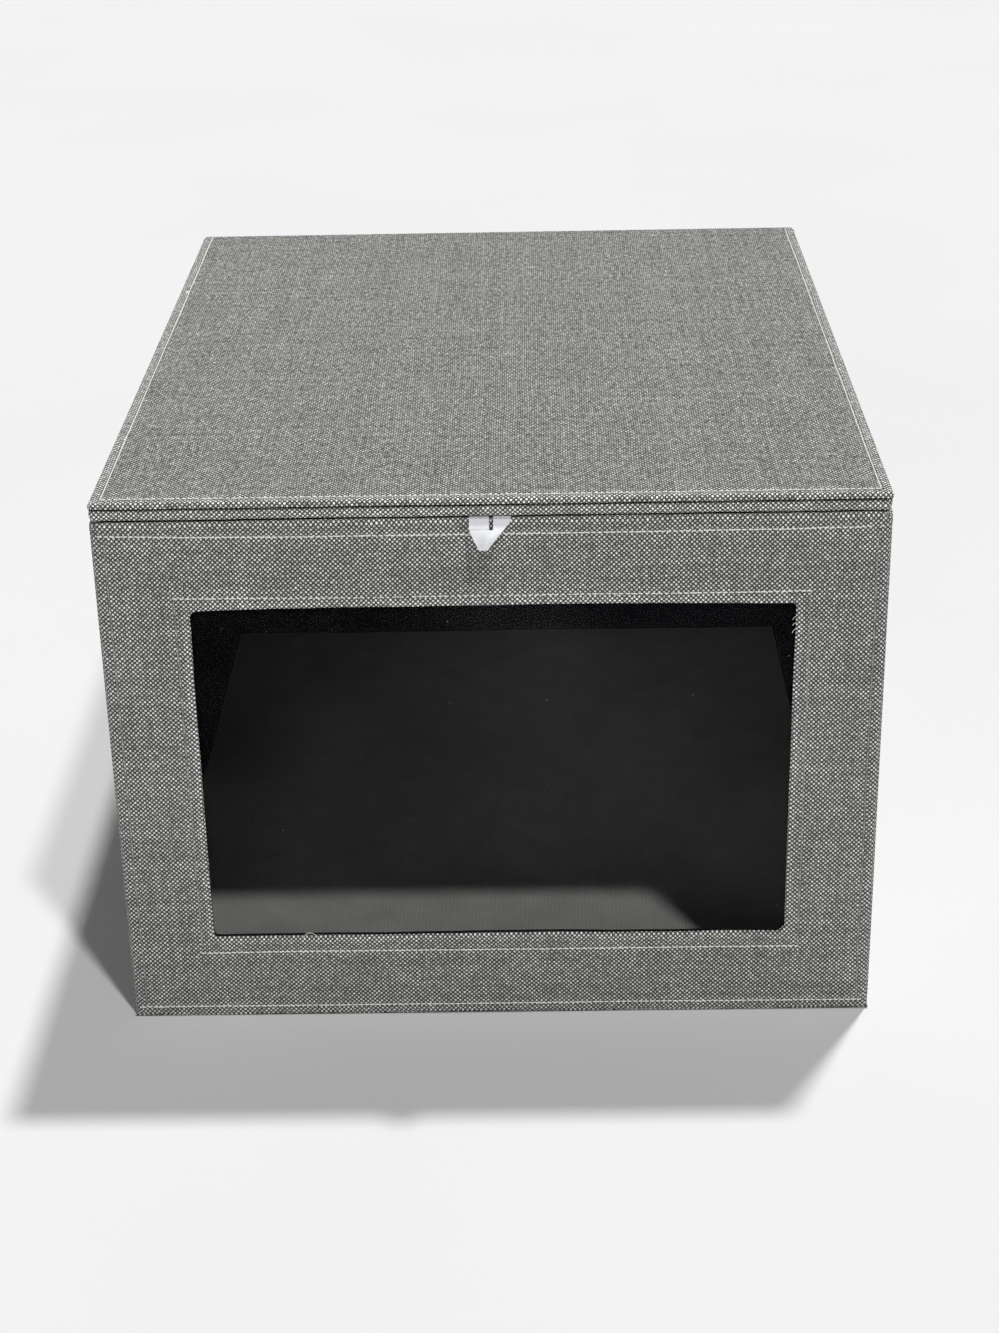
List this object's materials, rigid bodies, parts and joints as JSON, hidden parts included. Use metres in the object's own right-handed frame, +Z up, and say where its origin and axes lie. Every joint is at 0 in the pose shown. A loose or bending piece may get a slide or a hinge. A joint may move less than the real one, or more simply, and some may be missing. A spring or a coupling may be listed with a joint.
{
  "type": "lidded fabric enclosure box with a window",
  "caption": "Board-stiffened woven fabric enclosure box with a clear front window, a fold-back lid on a cloth hinge, a white pull ribbon and a loose floor board.",
  "frame": {"origin": "centre of the base's underside, on the surface that the box stands on", "axes": "+Z up, -Y out of the wall with the window, +X to the right as that wall is faced"},
  "size_m": [0.4004, 0.5125, 0.3002],
  "materials": {
    "woven_cover": "matte two-tone basket weave",
    "lining": "matte non-woven",
    "board": "plain grey board",
    "clear_film": "clear, glossy",
    "ribbon": "satin ribbon",
    "thread": "spun thread"
  },
  "bodies": {
    "box": {"base_cover": "woven_cover", "window_hem": "woven_cover", "front_cover": "woven_cover", "back_cover": "woven_cover", "left_cover": "woven_cover", "right_cover": "woven_cover", "base_lining": "lining", "window_facing": "lining", "front_lining": "lining", "back_lining": "lining", "left_lining": "lining", "right_lining": "lining", "front_board": "board", "back_board": "board", "left_board": "board", "right_board": "board", "window_film": "clear_film", "hem_stitching": "thread", "base_stitching": "thread", "corner_stitching": "thread", "window_stitching": "thread", "hinge_stitching": "thread"},
    "lid": {"lid_cover": "woven_cover", "lid_board": "board", "lid_lining": "lining", "lid_stitching": "thread", "ribbon_anchor": "ribbon", "rim_core_front": "board", "rim_core_left": "board", "rim_core_right": "board", "rim_cover_front": "woven_cover", "rim_cover_left": "woven_cover", "rim_cover_right": "woven_cover"},
    "ribbon": {"pull_ribbon": "ribbon"},
    "floor": {"insert_board": "board", "insert_cover": "lining", "insert_backing": "lining"}
  },
  "joints": [
    {"name": "lid_hinge", "type": "hinge", "parent": "box", "child": "lid", "pos_m": [0, 0.25, 0.3], "axis": [-1, 0, 0], "range_deg": [0, 215]},
    {"name": "ribbon_hinge", "type": "hinge", "parent": "lid", "child": "ribbon", "pos_m": [0, -0.2504, 0.29], "axis": [-1, 0, 0], "range_deg": [0, 110]},
    {"name": "floor_lift", "type": "slide", "parent": "box", "child": "floor", "axis": [0, 0, 1], "range_m": [0, 0.24]}
  ]
}
